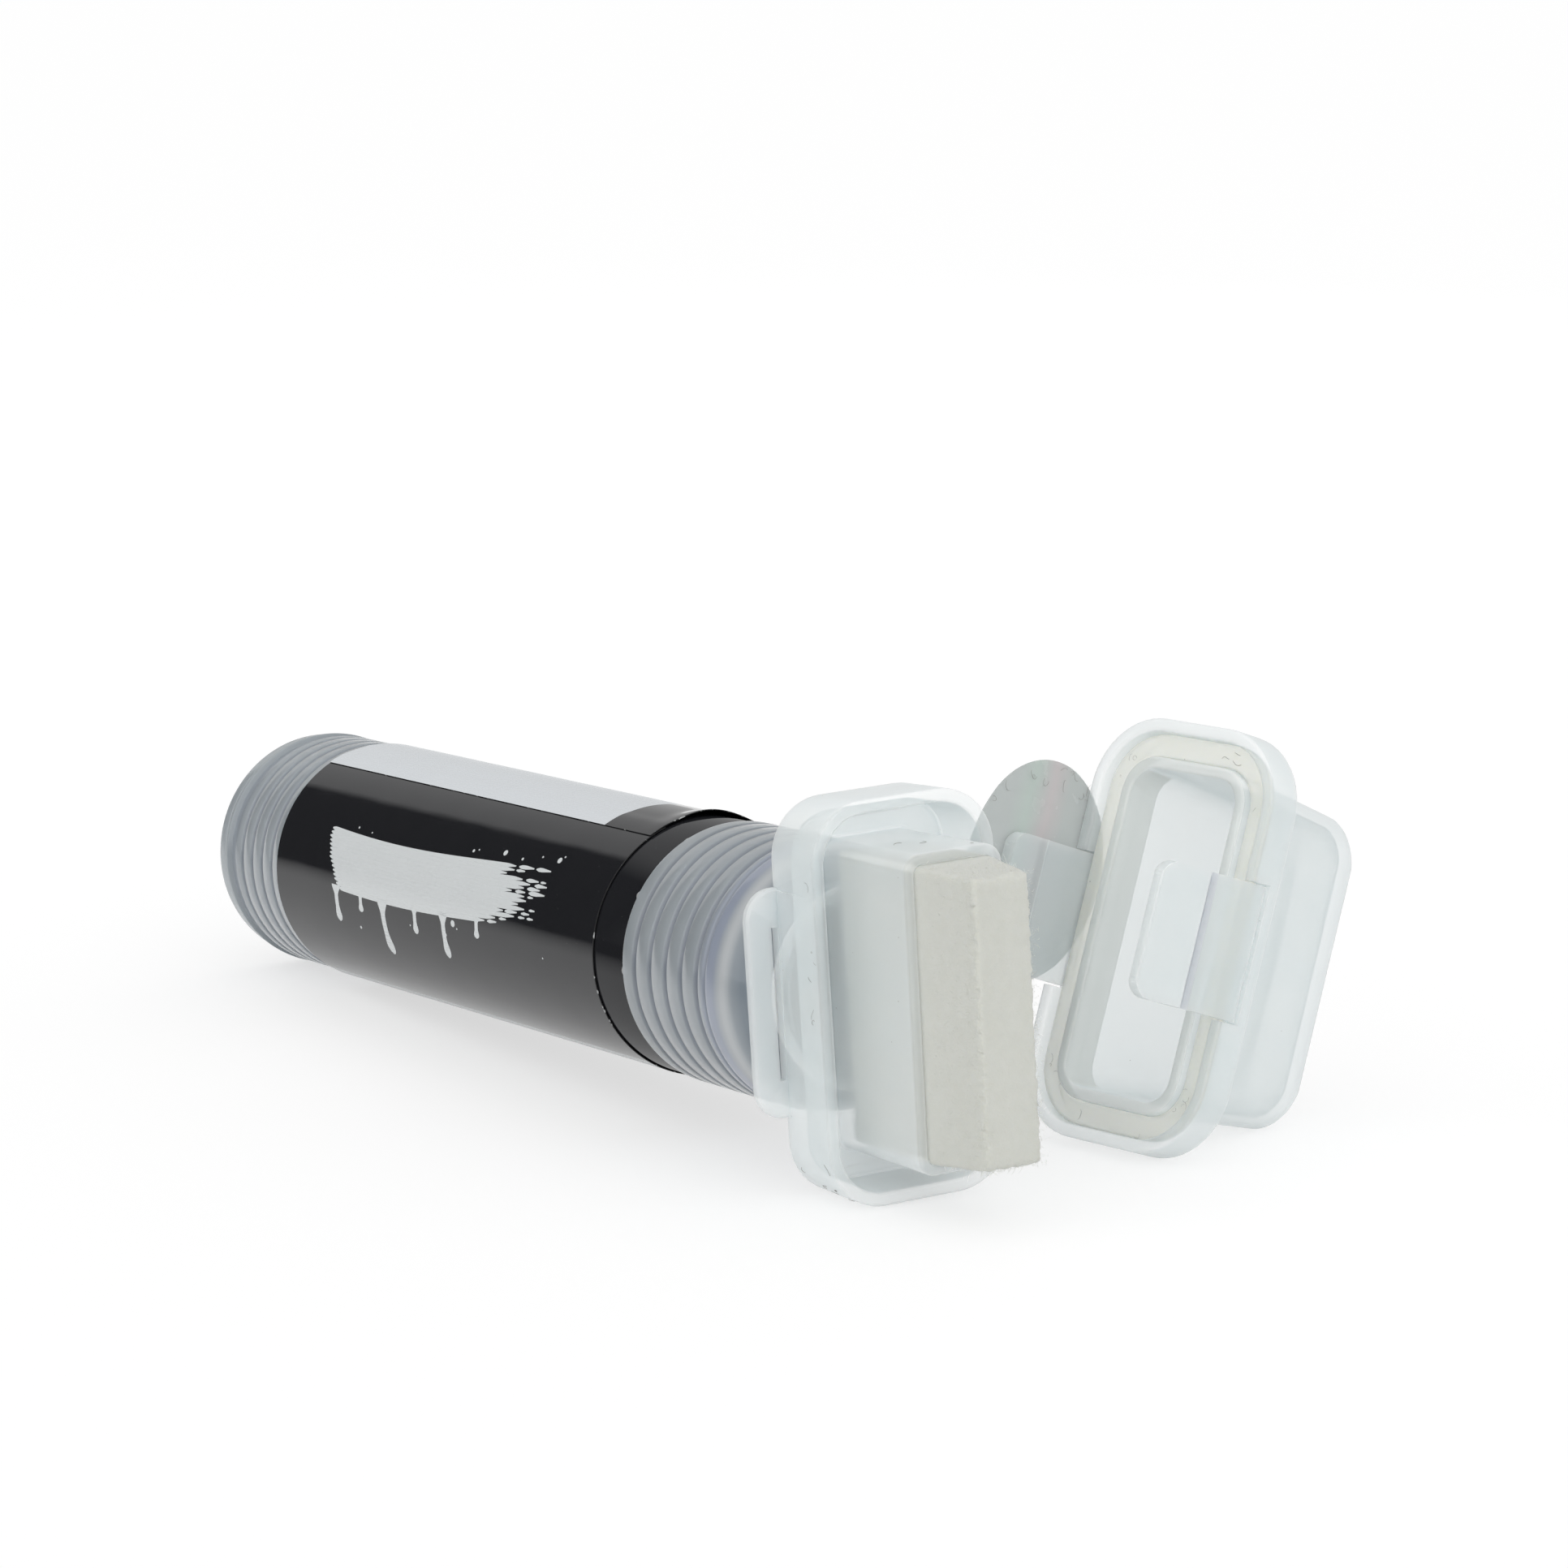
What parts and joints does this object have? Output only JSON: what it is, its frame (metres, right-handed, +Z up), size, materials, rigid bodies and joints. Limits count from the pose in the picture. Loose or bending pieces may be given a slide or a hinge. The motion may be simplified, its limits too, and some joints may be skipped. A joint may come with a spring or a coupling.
{
  "type": "paint marker",
  "caption": "Refillable wide-nib paint marker with a ribbed milky barrel, black film label and felt nib, lying beside its push-fit cap.",
  "frame": {"origin": "on the floor, at the middle of the footprint of the marker and its cap together", "axes": "+X along the floor from the barrel's base towards the nib, +Y towards the side where the cap stands, +Z up"},
  "size_m": [0.2108, 0.1008, 0.0594],
  "materials": {
    "tube_plastic": "translucent grey-white polypropylene, satin",
    "milky_plastic": "milky translucent polypropylene, satin",
    "black_film": "glossy black film",
    "label_film": "glossy black printed film with a silver panel",
    "felt": "pressed off-white felt",
    "seal_silicone": "beige silicone",
    "neck_seal": "soft grey seal",
    "clear_film": "clear film, dusty adhesive"
  },
  "bodies": {
    "barrel_body": {"barrel": "tube_plastic", "base_plug": "tube_plastic", "under_sleeve": "black_film", "wrap_label": "label_film"},
    "neck_body": {"neck_gasket": "neck_seal"},
    "head_body": {"head": "milky_plastic"},
    "nib_body": {"felt_nib": "felt"},
    "cap_body": {"cap_shell": "milky_plastic", "cap_gasket": "seal_silicone"},
    "latch_left_body": {"latch_left": "milky_plastic", "seal_sticker": "clear_film"},
    "latch_right_body": {"latch_right": "milky_plastic"}
  },
  "joints": [
    {"name": "head_rise", "type": "slide", "parent": "barrel_body", "child": "neck_body", "axis": [0.9985, 0, 0.054], "range_m": [0, 0.0046]},
    {"name": "head_turn", "type": "hinge", "parent": "neck_body", "child": "head_body", "pos_m": [0.0687, -0.03079, 0.02784], "axis": [0.9985, 0, 0.054], "range_deg": [0, 540]},
    {"name": "nib_pull", "type": "slide", "parent": "head_body", "child": "nib_body", "axis": [0.9985, 0, 0.054], "range_m": [0, 0.0245]},
    {"name": "cap_lift", "type": "slide", "parent": "barrel_body", "child": "cap_body", "axis": [0, 0, 1], "range_m": [0, 0.08]},
    {"name": "latch_left_flex", "type": "hinge", "parent": "cap_body", "child": "latch_left_body", "pos_m": [0.05373, 0.0131, 0.02984], "axis": [0.0769, -0.3179, -0.945], "range_deg": [-2, 10], "stiffness_Nm_per_rad": 0.08},
    {"name": "latch_right_flex", "type": "hinge", "parent": "cap_body", "child": "latch_right_body", "pos_m": [0.08512, 0.02069, 0.02984], "axis": [-0.0769, 0.3179, 0.945], "range_deg": [-2, 10], "stiffness_Nm_per_rad": 0.08}
  ],
  "couplings": [
    {"joint": "head_rise", "follows": "head_turn", "m_per_rad": 0.00047746}
  ]
}
